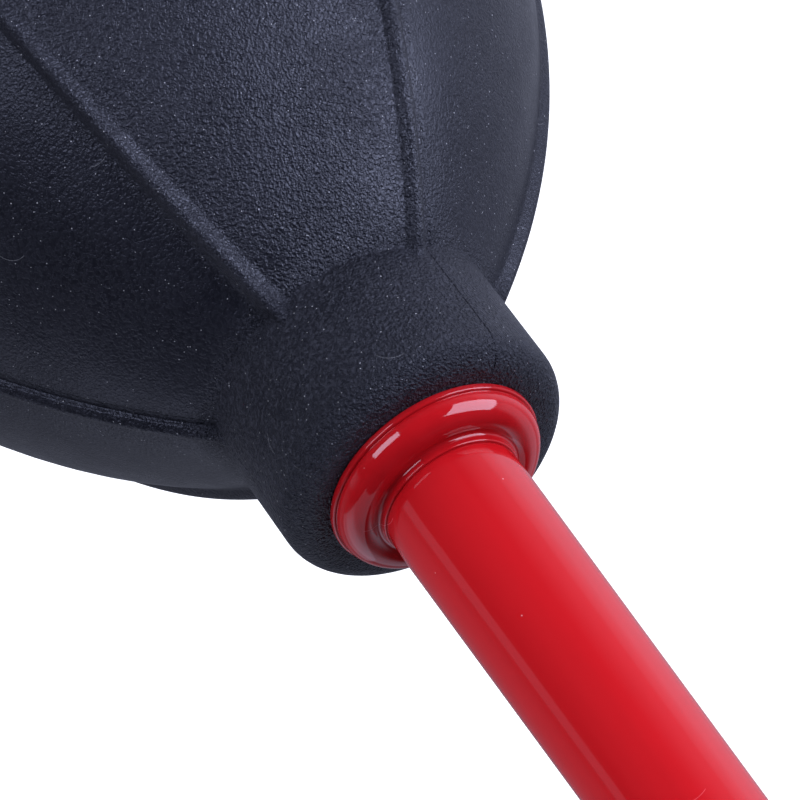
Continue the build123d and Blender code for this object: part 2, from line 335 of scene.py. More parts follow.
def skin_row(r, z, normal, rib_share=1.0):
    return r, z, normal, (normal[0] * rib_share, normal[1] * rib_share)


def outer_rows_low():
    """Rows from the tail's bore up to the split."""
    rows = []
    flat_end = TAIL_R - TAIL_EDGE_R
    for r in span(TAIL_BORE_R, flat_end, 5):
        rows.append((r, TAIL_Z, INSIDE, INSIDE))
    for a in span(0, TURN / 4, 6):
        r = flat_end + TAIL_EDGE_R * math.sin(a)
        z = TAIL_Z + TAIL_EDGE_R * (1 - math.cos(a))
        rows.append((r, z, INSIDE, INSIDE))
    arc_start = angle_at_radius(TAIL_R, TAIL_ARC_R)
    wall_top = tail_arc(arc_start)[1]
    for z in span(TAIL_Z + TAIL_EDGE_R, wall_top, 4):
        rows.append((TAIL_R, z, INSIDE, INSIDE))
    for a in span(arc_start, tail_angle(SQUEEZE_FROM_Z), 26):
        r, z, normal = tail_arc(a)
        rows.append(skin_row(r, z, normal, smooth(RIB_START_Z, RIB_START_Z + RIB_FADE, z)))
    rows.append(skin_row(*tail_arc(tail_angle(SQUEEZE_FROM_Z))))
    return rows


def collar_foot_rows(corner_angle):
    """Rows round the hollow corner between the body and the collar.

    A rib runs on at the body's slope until it meets the collar, so its lift turns upward.
    """
    start_r, start_z, _ = shoulder_arc(corner_angle - COLLAR_FILLET / SHOULDER_ARC_R)
    corner_r, corner_z, slope = shoulder_arc(corner_angle)
    rows = []
    for i in range(9):
        t = i / 8
        r = (1 - t) ** 2 * start_r + 2 * t * (1 - t) * corner_r + t * t * corner_r
        z = (1 - t) ** 2 * start_z + 2 * t * (1 - t) * corner_z + t * t * (corner_z + COLLAR_FILLET)
        lift = (mix(slope[0], 0, t), mix(slope[1], 1 / slope[1], t))
        lean = mix(corner_angle, 0, t)
        rows.append((r, z, (math.cos(lean), math.sin(lean)), lift))
    return rows


def outer_rows_high():
    """Rows from the split over the belly and the collar to the collar's bore."""
    rows = []
    for a in span(tail_angle(SQUEEZE_FROM_Z), 0, 36):
        rows.append(skin_row(*tail_arc(a)))
    corner_angle = angle_at_radius(COLLAR_R, SHOULDER_ARC_R)
    for a in span(0, corner_angle - COLLAR_FILLET / SHOULDER_ARC_R, 112):
        rows.append(skin_row(*shoulder_arc(a)))
    rows += collar_foot_rows(corner_angle)
    wall_start = rows[-1][1]
    edge_centre_r = COLLAR_R - COLLAR_EDGE_R
    edge_centre_z = SEAT_Z - COLLAR_EDGE_R
    for z in span(wall_start, edge_centre_z, 13)[1:]:
        settle = 1 - smooth(wall_start, wall_start + 2.5, z)
        rows.append((COLLAR_R, z, (1, 0), (0, settle / math.sin(corner_angle))))
    for a in span(0, TURN / 4, 12):
        r = edge_centre_r + COLLAR_EDGE_R * math.cos(a)
        z = edge_centre_z + COLLAR_EDGE_R * math.sin(a)
        rows.append((r, z, (math.cos(a), math.sin(a)), INSIDE))
    for r in span(edge_centre_r, COLLAR_BORE_R, 4):
        rows.append((r, SEAT_Z, INSIDE, INSIDE))
    return rows


def inner_rows_high():
    """Rows down the collar's bore and the cavity's wall to the split."""
    rows = []
    neck = angle_at_radius(COLLAR_BORE_R, SHOULDER_ARC_R, -WALL)
    neck_z = shoulder_arc(neck, -WALL)[1]
    for z in span(SEAT_Z, neck_z, 3):
        rows.append((COLLAR_BORE_R, z, INSIDE, INSIDE))
    for a in span(neck, 0, 12):
        rows.append((*shoulder_arc(a, -WALL)[:2], INSIDE, INSIDE))
    split_angle = tail_angle(SQUEEZE_FROM_Z, -WALL)
    for a in span(0, split_angle, 6):
        rows.append((*tail_arc(a, -WALL)[:2], INSIDE, INSIDE))
    rows.append((*tail_arc(split_angle, -WALL)[:2], INSIDE, INSIDE))
    return rows


def inner_rows_low():
    """Rows down the cavity's wall, across its floor and down the tail's bore."""
    rows = []
    floor_angle = tail_angle(CAVITY_FLOOR_Z, -WALL)
    for a in span(tail_angle(SQUEEZE_FROM_Z, -WALL), floor_angle, 5):
        rows.append((*tail_arc(a, -WALL)[:2], INSIDE, INSIDE))
    rows.append((*tail_arc(floor_angle, -WALL)[:2], INSIDE, INSIDE))
    rows.append((TAIL_BORE_R, CAVITY_FLOOR_Z, INSIDE, INSIDE))
    return rows


# Distances from a rib's middle of its columns of vertices, closest together at the seam.
RIB_COLUMNS = (-1.55, -1.28, -1.22, -1.17, -1.1, -0.93, -0.78, -0.72, -0.69, -0.66, -0.63, -0.6,
               -0.55, -0.47, -0.37, -0.26, -0.15, -0.05, 0.05, 0.15, 0.26, 0.37, 0.47, 0.56, 0.63,
               0.68, 0.72, 0.78, 0.95, 1.3)
PANEL_COLUMNS = 16
OFF_RIB = 9.0  # stands for the distance from a rib's middle out on the panels


def rib_angle(rib, z):
    stray = math.radians(RIB_WANDER[rib % RIB_COUNT])
    return rib * TURN / RIB_COUNT + stray * smooth(*RIB_STRAYS, z)


def columns(r, z):
    """Angle, distance from the rib's middle, rib number and place between ribs of columns."""
    result = []
    for rib in range(RIB_COUNT):
        middle = rib_angle(rib, z)
        for x in RIB_COLUMNS:
            result.append((middle + x / r, x, rib, 0.0))
        start = middle + RIB_COLUMNS[-1] / r
        end = rib_angle(rib + 1, z) + RIB_COLUMNS[0] / r
        if rib == RIB_COUNT - 1:
            end = rib_angle(0, z) + TURN + RIB_COLUMNS[0] / r
        for i in range(1, PANEL_COLUMNS + 1):
            place = i / (PANEL_COLUMNS + 1)
            result.append((mix(start, end, place), OFF_RIB, rib, place))
    return result


def rib_relief(x, rib, z):
    """Height of a rib's section: rounded with soft feet, or sharp-footed beside a seam."""
    height = mix(RIB_LOW, RIB_HIGH, smooth(*RIB_GROWS, z))
    if rib % 2 == 0:
        spread = mix(1.0, RIB_SPREAD, smooth(*RIB_SPREADS, z))
        return height * spread * (1 - smooth(0.04, RIB_HALF, abs(x) / spread))
    return height * max(0.0, 1 - (x / RIB_HALF) ** 2) ** 0.9


def seam_relief(x, rib, z, on_rib):
    """Parting line beside every second rib and on down the collar: a crack and low flash."""
    if rib % 2 == 0 or x > 0 or x < SEAM_END:
        return 0.0
    is_open = rib == OPEN_SEAM_RIB
    ragged = noise.noise(Vector((rib * 7.0, 0.0, z * 1.9)))
    ragged += 0.8 * noise.noise(Vector((rib * 3.0, 5.0, z * 5.3)))
    crack_share = 1.0 if is_open else FAINT
    crack = -SEAM_DEPTH * crack_share * math.exp(-(((x - SEAM_X) / SEAM_WIDTH) ** 2))
    if not on_rib:
        return crack * 0.6
    flash_share = FAINT if is_open else 1.0
    flash = FLASH_HEIGHT * flash_share * max(0.0, 0.5 + ragged)
    flash *= math.exp(-(((x - FLASH_X) / FLASH_WIDTH) ** 2))
    strip = -SEAM_STRIP_DEPTH * smooth(SEAM_STRIP_END - 0.05, SEAM_STRIP_END + 0.02, x)
    return crack + flash + strip * (1 - smooth(SEAM_X, SEAM_X + 0.05, x))


def bulb_vertices(rows):
    """Ring of vertices for each row, lifted at the ribs and let down between them."""
    verts = []
    for r, z, normal, lift in rows:
        on_body = lift[0] > 0.3  # on the collar a rib lifts the skin straight up
        for a, x, rib, place in columns(r, z):
            height = 0.0
            mark = 0.0
            if lift != INSIDE:
                height = rib_relief(x, rib, z) - PANEL_SAG * math.sin(math.pi * place) ** 2
            if normal != INSIDE:
                mark = seam_relief(x, rib, z, on_body)
            rr = r + lift[0] * height + normal[0] * mark
            zz = z + lift[1] * height + normal[1] * mark
            verts.append((rr * math.cos(a), rr * math.sin(a), zz))
    return verts


def outline_arch_r(z):
    """Radius at height z of the arch under a fin, a quadratic curve from foot to tail."""
    end_r, end_z = ARCH_END
    pull_r = (FOOT_INNER_R + end_r) / 2 - 2 * ARCH_SAG
    pull_z = end_z / 2 - 2 * ARCH_SAG
    height = min(end_z, max(0.0, z))
    bend = end_z - 2 * pull_z
    u = (math.sqrt(pull_z**2 + bend * height) - pull_z) / bend
    return (1 - u) ** 2 * FOOT_INNER_R + 2 * u * (1 - u) * pull_r + u * u * end_r


FIN_SIDE = 16  # steps along one side of a fin's section
FIN_END = 7  # steps round each of its corners


def fin_section(z, inset):
    """Closed section of a fin at height z as (distance out, distance across) points."""
    body = body_radius(z) if z >= TAIL_Z else 0.0
    outer = FIN_OUTER_R - inset
    inner = outline_arch_r(z) + inset if z < ARCH_END[1] else body - WALL * 0.7
    clear = max(0.05, outer - max(body, inner))
    fillet = min(ROOT_FILLET, clear * 0.6) if z >= TAIL_Z else 0.0
    top_blend = smooth(FIN_TOP_Z - FIN_TAPER, FIN_TOP_Z, z)
    root_half = mix(FIN_ROOT_HALF, FIN_TOP_HALF, top_blend) - inset
    edge_half = mix(FIN_EDGE_HALF, FIN_TOP_HALF * 0.9, top_blend) - inset

    def half_at(r):
        share = min(1.0, max(0.0, (r - max(body, inner)) / clear))
        half = mix(root_half, edge_half, share)
        away = r - body
        if body and away < fillet:
            drop = min(fillet, fillet - away)
            half += fillet - math.sqrt(fillet * fillet - drop * drop) if away > 0 else fillet
        return half

    side = []
    end_round = min(edge_half, FIN_EDGE_ROUND)
    in_round = min(root_half, FIN_EDGE_ROUND) if z < ARCH_END[1] else 0.05
    for i in range(FIN_END):
        a = TURN / 4 * i / FIN_END
        side.append((inner + in_round * (1 - math.cos(a)), half_at(inner + in_round) * math.sin(a)))
    for i in range(FIN_SIDE):
        r = mix(inner + in_round, outer - end_round, (i / FIN_SIDE) ** 1.4)
        side.append((r, half_at(r)))
    for i in range(FIN_END + 1):
        a = TURN / 4 * i / FIN_END
        side.append((outer - end_round * (1 - math.sin(a)), edge_half * math.cos(a)))
    return side + [(r, -x) for r, x in reversed(side[1:-1])]


def fin_parts(angle, heights):
    """One fin between the given (height, inset) rings: its sides, then its two end faces."""
    rings = []
    for z, inset in heights:
        rings.append([(*turned(r, x, angle), z) for r, x in fin_section(z, inset)])
    count = len(rings[0])
    sides = [vert for ring in rings for vert in ring]
    under = tuple(range(count - 1, -1, -1))
    over = tuple(range(count))
    return [(sides, grid_faces(len(rings), count, False)), (rings[0], [under]), (rings[-1], [over])]


def shell_parts(rows):
    """Skin through the rows, and the flat ring across the wall where the halves meet."""
    ring_size = len(columns(COLLAR_R, SEAT_Z))
    skin = (bulb_vertices(rows), grid_faces(len(rows), ring_size, False))
    cut = (bulb_vertices([rows[-1], rows[0]]), grid_faces(2, ring_size, False))
    return [skin, cut]


def make_bulb(material):
    """The rubber moulding in two halves that meet in a plane where a squeeze starts."""
    fin_low = [(0.0, 0.45), (0.12, 0.2), (0.45, 0.0)]
    fin_low += [(z, 0.0) for z in span(0.9, SQUEEZE_FROM_Z, 44)] + [(SQUEEZE_FROM_Z, 0.0)]
    fin_high = [(z, 0.0) for z in span(SQUEEZE_FROM_Z, FIN_TOP_Z, 30)] + [(FIN_TOP_Z, 0.0)]
    pieces = []
    for name, rows, fin_rings in (
        ("bulb_foot", inner_rows_low() + outer_rows_low(), fin_low),
        ("bulb_upper", outer_rows_high() + inner_rows_high(), fin_high),
    ):
        parts = shell_parts(rows)
        for degrees in FIN_ANGLES:
            parts += fin_parts(math.radians(degrees), fin_rings)
        verts, faces = joined(parts)
        pieces.append(mesh_object(name, verts, faces, material))
    return pieces


# ---------------------------------------------------------------- nozzle shapes


def arc_points(centre, radius, first, last, steps):
    """Points on an arc in the (radius, height) plane, angles in degrees from outward."""
    points = []
    for i in range(steps + 1):
        a = math.radians(mix(first, last, i / steps))
        points.append((centre[0] + radius * math.cos(a), centre[1] + radius * math.sin(a), 0))
    return points


def curve_points(start, pull_a, pull_b, end, steps):
    """Points on the cubic curve from start to end, without start, with no fillets."""
    points = []
    for i in range(1, steps + 1):
        t = i / steps
        point = (1 - t) ** 3 * start + 3 * t * (1 - t) ** 2 * pull_a
        point += 3 * t * t * (1 - t) * pull_b + t**3 * end
        points.append((point.x, point.y, 0))
    return points


def flange_outline():
    """Outline of the flange: plug, lip, disc, groove, bead, dish, boss, socket, chamber."""
    bead = arc_points((BEAD_R, BEAD_Z), BEAD_SECTION_R, 0, BEAD_END, 26)
    crest = Vector(bead[-1][:2])
    slope = math.radians(BEAD_END)
    boss_wall = Vector((BOSS_R, BOSS_Z - 0.22))
    dip = curve_points(
        crest,
        crest + Vector((-math.sin(slope), math.cos(slope))) * 0.24,
        Vector((BOSS_R + 0.02, DISH_Z)),
        boss_wall,
        12,
    )
    corners = [
        (CHAMBER_R, PLUG_END, 0.15),
        (PLUG_R - 0.5, PLUG_END, 0.15),
        (LIP_R, LIP_TOP - 0.25, 0.12),
        (LIP_R, LIP_TOP, 0.1),
        (PLUG_R, LIP_TOP, 0.1),
        (PLUG_R, 0.0, 0.02),
        (DISC_R, 0.0, 0.08),
        (DISC_R, DISC_TOP, 0.14),
        (GROOVE_R, DISC_TOP, 0.05),
        (GROOVE_R, BEAD_Z - 0.04, 0.03),
        (BEAD_R + BEAD_SECTION_R - 0.02, BEAD_Z - 0.04, 0.02),
        *bead,
        *dip,
        (BOSS_R, BOSS_Z, 0.10),
        (SOCKET_R, BOSS_Z, 0.12),
        (SOCKET_R, SOCKET_END, 0.15),
        (PASSAGE_R, SOCKET_END, 0.1),
        (PASSAGE_R, CHAMBER_TOP, 0.1),
        (CHAMBER_R, CHAMBER_TOP, 0.15),
    ]
    return lifted(filleted(corners), SEAT_Z)


def stop_rib(angle):
    """Bevelled bar across the valve chamber that the outlet disc lifts against."""
    high = SEAT_Z + CHAMBER_TOP + 0.2
    low = SEAT_Z + CHAMBER_TOP - STOP_RIB_DEPTH
    half = STOP_RIB_WIDTH / 2
    bevel = 0.12
    section = [(-half, high), (-half, low + bevel), (-half + bevel, low),
               (half - bevel, low), (half, low + bevel), (half, high)]
    verts = []
    for r in (STOP_RIB_INNER_R, CHAMBER_R + 0.3):
        for x, z in section:
            verts.append((*turned(r, x, angle), z))
    count = len(section)
    faces = grid_faces(2, count, False)
    faces.append(tuple(range(count - 1, -1, -1)))
    faces.append(tuple(range(count, 2 * count)))
    return verts, faces


def make_flange(material):
    parts = [spun(flange_outline(), FLANGE_SEGMENTS)]
    for i in range(STOP_RIB_COUNT):
        parts.append(stop_rib(TURN * i / STOP_RIB_COUNT))
    return moulding("flange_moulding", parts, material)


def tube_outline():
    """Outline of the tube: spigot with its seal groove, shoulder, barrel, taper and tip."""
    tip = TIP_Z - SEAT_Z
    land_start = tip - TIP_EDGE_R - LAND_LENGTH
    bore_end = tip - TIP_BORE_LENGTH
    flare = TUBE_R - TUBE_FOOT_R
    rise = SHOULDER_Z - TUBE_FOOT_Z
    shoulder_r = (flare**2 + rise**2) / (2 * flare)
    foot_angle = -math.degrees(math.asin(rise / shoulder_r))
    shoulder = arc_points((TUBE_R - shoulder_r, SHOULDER_Z), shoulder_r, foot_angle, 0, 14)
    corners = [
        (TUBE_BORE_R, SPIGOT_END, 0.15),
        (SPIGOT_R, SPIGOT_END, 0.35),
        (SPIGOT_R, SEAL_Z - SEAL_GROOVE_HALF, 0.06),
        (SEAL_GROOVE_R, SEAL_Z - SEAL_GROOVE_HALF, 0.1),
        (SEAL_GROOVE_R, SEAL_Z + SEAL_GROOVE_HALF, 0.1),
        (SPIGOT_R, SEAL_Z + SEAL_GROOVE_HALF, 0.06),
        (SPIGOT_R, TUBE_FOOT_Z, 0.04),
        *shoulder,
    ]
    for i in range(1, 13):
        z = mix(SHOULDER_Z, BARREL_END_Z, i / 12)
        corners.append((mix(TUBE_R, BARREL_END_R, i / 12), z, 0))
    start_slope = (BARREL_END_R - TUBE_R) / (BARREL_END_Z - SHOULDER_Z)
    run = land_start - BARREL_END_Z
    # The taper is a cubic that leaves the barrel at its slope and meets the tip upright.
    for i in range(1, 25):
        t = i / 24
        r = (2 * t**3 - 3 * t**2 + 1) * BARREL_END_R + (t**3 - 2 * t**2 + t) * start_slope * run
        r += (3 * t**2 - 2 * t**3) * LAND_R
        corners.append((r, BARREL_END_Z + t * run, 0))
    corners += [
        (LAND_R, tip, TIP_EDGE_R),
        (TIP_BORE_R, tip, 0.2),
        (TIP_BORE_R, bore_end, 0.1),
        (TUBE_BORE_R, bore_end, 0.1),
    ]
    return lifted(filleted(corners), SEAT_Z)


# ---------------------------------------------------------------- materials


def new_material(name):
    material = bpy.data.materials.new(name)
    material.use_nodes = True
    return material, material.node_tree


class Graph:
    """Short ways to add and link shader nodes. Pattern scales are in features a metre."""

    def __init__(self, tree, shader="Principled BSDF"):
        self.tree = tree
        self.nodes = tree.nodes
        self.shader = tree.nodes[shader]

    def link(self, out, socket):
        self.tree.links.new(out, socket)

    def put(self, value, socket):
        if isinstance(value, bpy.types.NodeSocket):
            self.link(value, socket)
        else:
            socket.default_value = value

    def coords(self):
        return self.nodes.new("ShaderNodeTexCoord").outputs["Object"]

    def scaled(self, vector, scale):
        node = self.nodes.new("ShaderNodeMapping")
        self.link(vector, node.inputs["Vector"])
        node.inputs["Scale"].default_value = scale
        return node.outputs["Vector"]

    def noise(self, vector, scale, detail=2.0, roughness=0.5, distortion=0.0):
        node = self.nodes.new("ShaderNodeTexNoise")
        self.link(vector, node.inputs["Vector"])
        node.inputs["Scale"].default_value = scale
        node.inputs["Detail"].default_value = detail
        node.inputs["Roughness"].default_value = roughness
        node.inputs["Distortion"].default_value = distortion
        return node.outputs["Fac"]

    def cells(self, vector, scale):
        node = self.nodes.new("ShaderNodeTexVoronoi")
        self.link(vector, node.inputs["Vector"])
        node.inputs["Scale"].default_value = scale
        return node

    def math(self, operation, a, b=0.0):
        node = self.nodes.new("ShaderNodeMath")
        node.operation = operation
        self.put(a, node.inputs[0])
        self.put(b, node.inputs[1])
        return node.outputs[0]

    def total(self, first, *others):
        for other in others:
            first = self.math("ADD", first, other)
        return first

    def product(self, first, *others):
        for other in others:
            first = self.math("MULTIPLY", first, other)
        return first

    def ramp(self, value, low, high, out_low=0.0, out_high=1.0):
        node = self.nodes.new("ShaderNodeMapRange")
        node.interpolation_type = "SMOOTHSTEP"
        self.link(value, node.inputs["Value"])
        node.inputs["From Min"].default_value = low
        node.inputs["From Max"].default_value = high
        node.inputs["To Min"].default_value = out_low
        node.inputs["To Max"].default_value = out_high
        return node.outputs["Result"]

    def mix_colour(self, factor, a, b):
        node = self.nodes.new("ShaderNodeMix")
        node.data_type = "RGBA"
        self.put(factor, node.inputs["Factor"])
        self.put(a, node.inputs[6])
        self.put(b, node.inputs[7])
        return node.outputs[2]

    def split(self, vector):
        node = self.nodes.new("ShaderNodeSeparateXYZ")
        self.link(vector, node.inputs[0])
        return node.outputs

    def vector(self, operation, a, b=(0, 0, 0)):
        """Vector maths. A length or a dot product comes out as one number."""
        node = self.nodes.new("ShaderNodeVectorMath")
        node.operation = operation
        self.put(a, node.inputs[0])
        self.put(b, node.inputs[1])
        return node.outputs["Value" if operation in ("LENGTH", "DOT_PRODUCT") else "Vector"]

    def bump(self, height, distance):
        node = self.nodes.new("ShaderNodeBump")
        self.link(height, node.inputs["Height"])
        node.inputs["Distance"].default_value = distance
        node.inputs["Strength"].default_value = 1.0
        return node.outputs["Normal"]


def hairs(graph, vector, scale, half_width, reach, share):
    """Hair-thin curved strokes, one in a share of the cells of a cell pattern.

    A stroke is where a thin bent sheet through the cell's centre meets the surface.
    """
    cell = graph.cells(vector, scale)
    away = graph.vector("SUBTRACT", vector, cell.outputs["Position"])
    facing = graph.vector("SUBTRACT", cell.outputs["Color"], (0.5, 0.5, 0.5))
    off = graph.vector("DOT_PRODUCT", away, graph.vector("NORMALIZE", facing))
    far = graph.vector("LENGTH", away)
    bend = graph.product(far, far, 0.35 / reach)
    gap = graph.math("ABSOLUTE", graph.math("SUBTRACT", off, bend))
    line = graph.ramp(gap, half_width * 0.5, half_width, 1.0, 0.0)
    inside = graph.ramp(far, reach * 0.9, reach, 1.0, 0.0)
    chosen = graph.math("LESS_THAN", graph.split(cell.outputs["Color"])[0], share)
    return graph.product(line, inside, chosen)


def specks(graph, vector, scale, radius, share):
    """Scattered round specks of dust, on a share of the cells."""
    cell = graph.cells(vector, scale)
    speck = graph.ramp(cell.outputs["Distance"], radius * 0.6, radius, 1.0, 0.0)
    chosen = graph.math("GREATER_THAN", graph.split(cell.outputs["Color"])[0], 1 - share)
    return graph.product(speck, chosen)


COARSE_ANGLE = math.radians(211)  # the panel with the coarse grain faces this way
COARSE_EDGE = (0.80, 0.868)  # cosines of the angle from there where the coarse grain fades
COARSE_GROWS = (66.0, 98.0)  # heights between which it gets coarser
COARSE_ENDS = (101.5, 102.1)
COLLAR_STARTS = (100.5, 102.5)
LEATHER_DEPTH = 0.00012


def coarse_share(g, place, height):
    """How coarse the rubber's grain is: most on one panel near the collar."""
    outward = g.vector("NORMALIZE", g.vector("MULTIPLY", place, (1, 1, 0)))
    coarse_side = (math.cos(COARSE_ANGLE), math.sin(COARSE_ANGLE), 0)
    on_panel = g.ramp(g.vector("DOT_PRODUCT", outward, coarse_side), *COARSE_EDGE)
    near_collar = g.ramp(height, *COARSE_GROWS, 0.12, 1.0)
    below_collar = g.ramp(height, *COARSE_ENDS, 1.0, 0.0)
    return g.product(near_collar, on_panel, below_collar)


def rubber_dirt(g, place):
    """Large and small dust specks, and faint lint."""
    small = specks(g, place, 2600.0, 0.12, 0.42)
    large = specks(g, place, 1100.0, 0.065, 0.16)
    dust = g.math("MAXIMUM", small, large)
    lint = hairs(g, place, 210.0, 0.000020, 0.0010, 0.7)
    return g.math("MAXIMUM", g.product(dust, 0.42), g.product(lint, 0.13))


def rubber_material():
    """Matte black rubber: leather-like mould grain, uneven sheen, grain tops painted lighter as
    glints and partly worn, dust specks and hairs.
    """
    material, tree = new_material("black_rubber")
    g = Graph(tree)
    place = g.coords()
    height = g.math("DIVIDE", g.split(place)[2], MM)
    coarse = coarse_share(g, place, height)
    on_collar = g.ramp(height, *COLLAR_STARTS)

    wrinkles = g.ramp(g.noise(place, 3800.0, 2.0, 0.55, 0.3), 0.40, 0.62)
    pores = g.cells(place, 5200.0).outputs["Distance"]
    fine = g.noise(place, 9500.0, 1.0)
    grain = g.total(g.product(wrinkles, 0.42), g.product(pores, 0.55), g.product(fine, 0.40))
    amount = g.total(g.product(coarse, 0.55), 0.36, g.product(on_collar, 1.15))
    patchy = g.ramp(g.noise(place, 160.0, 2.0), 0.3, 0.7, 0.7, 1.15)
    g.link(g.bump(g.product(grain, amount, patchy), LEATHER_DEPTH), g.shader.inputs["Normal"])

    tone = g.ramp(g.noise(place, 140.0, 3.0), 0.3, 0.7)
    base = g.mix_colour(tone, (0.0080, 0.0083, 0.0120, 1), (0.0115, 0.0118, 0.0165, 1))
    # Grain tops lighter, more so on the collar: partly a greyish worn tone, partly painted glints on
    # the grain.
    wear_and_glints = g.product(wrinkles, g.total(g.product(on_collar, 0.16), 0.12))
    base = g.mix_colour(wear_and_glints, base, (0.048, 0.050, 0.064, 1))
    base = g.mix_colour(rubber_dirt(g, place), base, (0.75, 0.76, 0.80, 1))
    g.link(base, g.shader.inputs["Base Color"])

    uneven = g.ramp(g.noise(place, 420.0, 4.0, 0.6), 0.3, 0.7, 0.27, 0.35)
    g.link(g.total(uneven, g.product(on_collar, 0.08)), g.shader.inputs["Roughness"])
    sheen = g.total(g.product(coarse, 0.20), 0.25)
    g.link(sheen, g.shader.inputs["Specular IOR Level"])
    g.shader.inputs["Specular Tint"].default_value = (0.84, 0.87, 1.0, 1)
    return material


def red_material():
    """Glossy red moulded plastic: faint lengthwise drawing marks and a few scratches."""
    material, tree = new_material("red_plastic")
    g = Graph(tree)
    place = g.coords()
    along = g.scaled(place, (1.0, 1.0, 0.035))
    marks = g.noise(along, 2600.0, 3.0, 0.6)
    soft_marks = g.noise(along, 500.0, 2.0)
    scratch = hairs(g, place, 160.0, 0.000020, 0.0014, 0.5)
    tone = g.ramp(soft_marks, 0.3, 0.7)
    base = g.mix_colour(tone, (0.415, 0.0060, 0.0092, 1), (0.445, 0.0072, 0.0108, 1))
    base = g.mix_colour(g.product(scratch, 0.35), base, (0.80, 0.16, 0.20, 1))
    dust = specks(g, place, 1300.0, 0.075, 0.05)
    base = g.mix_colour(g.product(dust, 0.5), base, (0.85, 0.55, 0.58, 1))
    g.link(base, g.shader.inputs["Base Color"])
    rough = g.ramp(marks, 0.25, 0.75, 0.045, 0.085)
    g.link(g.total(rough, g.product(scratch, 0.25)), g.shader.inputs["Roughness"])
    height = g.total(g.product(marks, 0.25), g.product(soft_marks, 0.75))
    g.link(g.bump(height, 0.000008), g.shader.inputs["Normal"])
    return material


def plain_material(name, dark, light, roughness, grain_scale, grain_depth):
    """Matte moulded plastic, silicone or rubber with a fine grain and uneven tone."""
    material, tree = new_material(name)
    g = Graph(tree)
    place = g.coords()
    tone = g.ramp(g.noise(place, 300.0, 3.0), 0.3, 0.7)
    g.link(g.mix_colour(tone, (*dark, 1), (*light, 1)), g.shader.inputs["Base Color"])
    grain = g.noise(place, grain_scale, 3.0, 0.6)
    g.link(g.ramp(grain, 0.3, 0.7, roughness - 0.06, roughness + 0.06), g.shader.inputs["Roughness"])
    g.link(g.bump(grain, grain_depth), g.shader.inputs["Normal"])
    return material


def foam_material():
    """Open-cell filter foam: lighter struts, and pits painted dark as the shade inside them."""
    material, tree = new_material("filter_foam")
    g = Graph(tree)
    place = g.coords()
    cell = g.cells(place, 2200.0).outputs["Distance"]
    # The pits' dark colour is painted shade, where the holes in the foam would lie in shadow.
    pit = g.ramp(cell, 0.15, 0.45)
    base = g.mix_colour(pit, (0.012, 0.012, 0.014, 1), (0.10, 0.10, 0.11, 1))
    g.link(base, g.shader.inputs["Base Color"])
    g.link(g.bump(pit, 0.00018), g.shader.inputs["Normal"])
    g.shader.inputs["Roughness"].default_value = 0.9
    return material


def paint_cad(node, material):
    """Gives a carried-over CAD node its procedural material."""
    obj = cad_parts[node]
    obj.data.materials.clear()
    obj.data.materials.append(material)


# ---------------------------------------------------------------- stage


def view_axes():
    """Picture's right and up, and the direction back to the camera, for the rolled view."""
    a, e = VIEW_AZIMUTH, VIEW_ELEVATION
    back = Vector((math.sin(a) * math.cos(e), -math.cos(a) * math.cos(e), math.sin(e)))
    across = Vector((-math.cos(a), -math.sin(a), 0.0))
    along = (Vector((0, 0, 1)) - back * back.z).normalized()
    right = along * math.cos(AXIS_DROP) + across * math.sin(AXIS_DROP)
    up = -along * math.sin(AXIS_DROP) + across * math.cos(AXIS_DROP)
    return right, up, back


def make_camera():
    right, up, back = view_axes()
    centre = Vector((0, 0, SEAT_Z)) - right * SEAT_RIGHT_OF_CENTRE + up * SEAT_BELOW_CENTRE
    data = bpy.data.cameras.new("camera")
    data.lens = LENS
    data.sensor_width = 36.0
    data.clip_start = 0.01
    data.clip_end = 50.0
    camera = bpy.data.objects.new("camera", data)
    turn = Matrix((right, up, back)).transposed().to_4x4()
    camera.matrix_world = Matrix.Translation((centre + back * VIEW_DISTANCE) * MM) @ turn
    bpy.context.collection.objects.link(camera)
    bpy.context.scene.camera = camera


def around(azimuth, elevation):
    """Direction at an angle round from the camera's side, positive to the picture's right."""
    a = VIEW_AZIMUTH - TURN / 4 - math.radians(azimuth)
    e = math.radians(elevation)
    return Vector((math.cos(a) * math.cos(e), math.sin(a) * math.cos(e), math.sin(e)))


def softbox(name, azimuth, elevation, distance, width, height, radiance):
    """Rectangular area light that faces the flange, with an even radiance."""
    data = bpy.data.lights.new(name, "AREA")
    data.shape = "RECTANGLE"
    data.size = width
    data.size_y = height
    data.energy = radiance * math.pi * width * height
    data.color = LIGHT_TINT
    light = bpy.data.objects.new(name, data)
    away = around(azimuth, elevation)
    light.location = Vector((0, 0, SEAT_Z * MM)) + away * distance
    light.rotation_euler = away.to_track_quat("Z", "Y").to_euler()
    bpy.context.collection.objects.link(light)


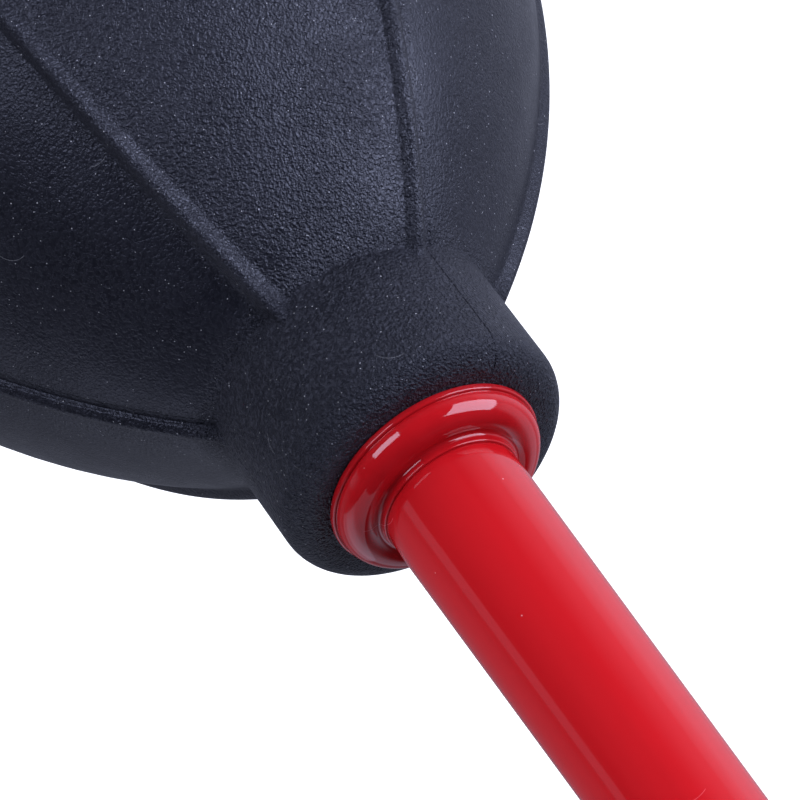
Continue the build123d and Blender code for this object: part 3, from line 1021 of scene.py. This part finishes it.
def make_world():
    """Soft room light that fades upward, and plain white where the camera sees it."""
    world = bpy.data.worlds.new("surroundings")
    bpy.context.scene.world = world
    world.use_nodes = True
    g = Graph(world.node_tree, "Background")
    g.shader.inputs["Strength"].default_value = 1.0
    direction = g.nodes.new("ShaderNodeTexCoord").outputs["Generated"]
    rightward = g.vector("DOT_PRODUCT", direction, around(90, 0))
    frontward = g.vector("DOT_PRODUCT", direction, around(0, 0))
    round_angle = g.math("ARCTAN2", rightward, frontward)
    share = g.total(g.math("DIVIDE", round_angle, TURN), 0.5)
    walls = g.nodes.new("ShaderNodeValToRGB")
    g.link(share, walls.inputs["Fac"])
    ramp = walls.color_ramp
    while len(ramp.elements) < len(ROOM):
        ramp.elements.new(1.0)
    for stop, (degrees, value) in zip(ramp.elements, ROOM):
        stop.position = degrees / 360 + 0.5
        stop.color = (value, value, value, 1)
    height = g.split(direction)[2]
    fade = g.ramp(height, *ROOM_FADES, 1.0, ROOM_TOP)
    light = g.total(g.product(walls.outputs["Color"], fade), ROOM_BASE)
    behind = g.ramp(g.vector("DOT_PRODUCT", direction, around(180, 0)), -0.05, 0.40, 0.0, BAND)
    band = g.product(g.ramp(height, *BAND_STARTS), g.ramp(height, *BAND_ENDS, 1.0, 0.0))
    light = g.total(light, g.product(behind, band))
    tinted = g.vector("MULTIPLY", light, LIGHT_TINT)
    seen = g.nodes.new("ShaderNodeLightPath").outputs["Is Camera Ray"]
    g.link(g.mix_colour(seen, tinted, (1, 1, 1, 1)), g.shader.inputs["Color"])


def make_floor():
    """Plain white floor. It doesn't show in the gloss, which sees the surroundings."""
    material, tree = new_material("white_floor")
    shader = tree.nodes["Principled BSDF"]
    shader.inputs["Base Color"].default_value = (0.9, 0.9, 0.9, 1)
    shader.inputs["Roughness"].default_value = 0.9
    shader.inputs["Emission Color"].default_value = (1, 1, 1, 1)
    shader.inputs["Emission Strength"].default_value = FLOOR_GLOW
    h = FLOOR_HALF
    corners = [(-h, -h, 0), (h, -h, 0), (h, h, 0), (-h, h, 0)]
    floor = mesh_object("floor", corners, [(0, 1, 2, 3)], material)
    floor.visible_glossy = False
    floor.visible_shadow = False


# ---------------------------------------------------------------- assembly

bpy.context.scene.view_settings.view_transform = "Standard"

make_camera()
make_world()
# azimuth and elevation in degrees, then distance, width and height in metres, then radiance
softbox("key", 75, 22, 0.60, 0.52, 0.46, 5.6)
softbox("left_window", -20, 0, 0.70, 0.40, 0.30, 5.6)
softbox("low_left_fill", -128, 26, 0.80, 0.90, 1.00, 0.42)
make_floor()

rubber = rubber_material()
red = red_material()
seal = plain_material(
    "seal_rubber", (0.010, 0.010, 0.011), (0.020, 0.020, 0.021), 0.45, 4000.0, 0.00002
)
white = plain_material(
    "white_plastic", (0.70, 0.70, 0.66), (0.78, 0.78, 0.74), 0.40, 3000.0, 0.00001
)
silicone = plain_material(
    "clear_silicone", (0.66, 0.70, 0.68), (0.78, 0.81, 0.79), 0.35, 2500.0, 0.00001
)
silicone.node_tree.nodes["Principled BSDF"].inputs["Transmission Weight"].default_value = 0.25
foam = foam_material()

foot, upper = make_bulb(rubber)
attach(foot, "base")
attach(upper, "base")
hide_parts("bulb")
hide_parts("bulb")

flange = make_flange(red)
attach(flange, "neck")
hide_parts("nozzle_flange")

tube = moulding("tube_moulding", [spun(tube_outline(), TUBE_SEGMENTS)], red)
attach(tube, "nozzle")
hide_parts("nozzle_tube")

for node, material in (
    ("nozzle_seal_ring", seal),
    ("outlet_valve_seat", white),
    ("outlet_valve_disc", silicone),
    ("inlet_valve_body", red),
    ("inlet_valve_disc", silicone),
    ("inlet_valve_cage", white),
    ("inlet_filter", foam),
    ("filter_cover", red),
):
    paint_cad(node, material)

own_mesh(upper)
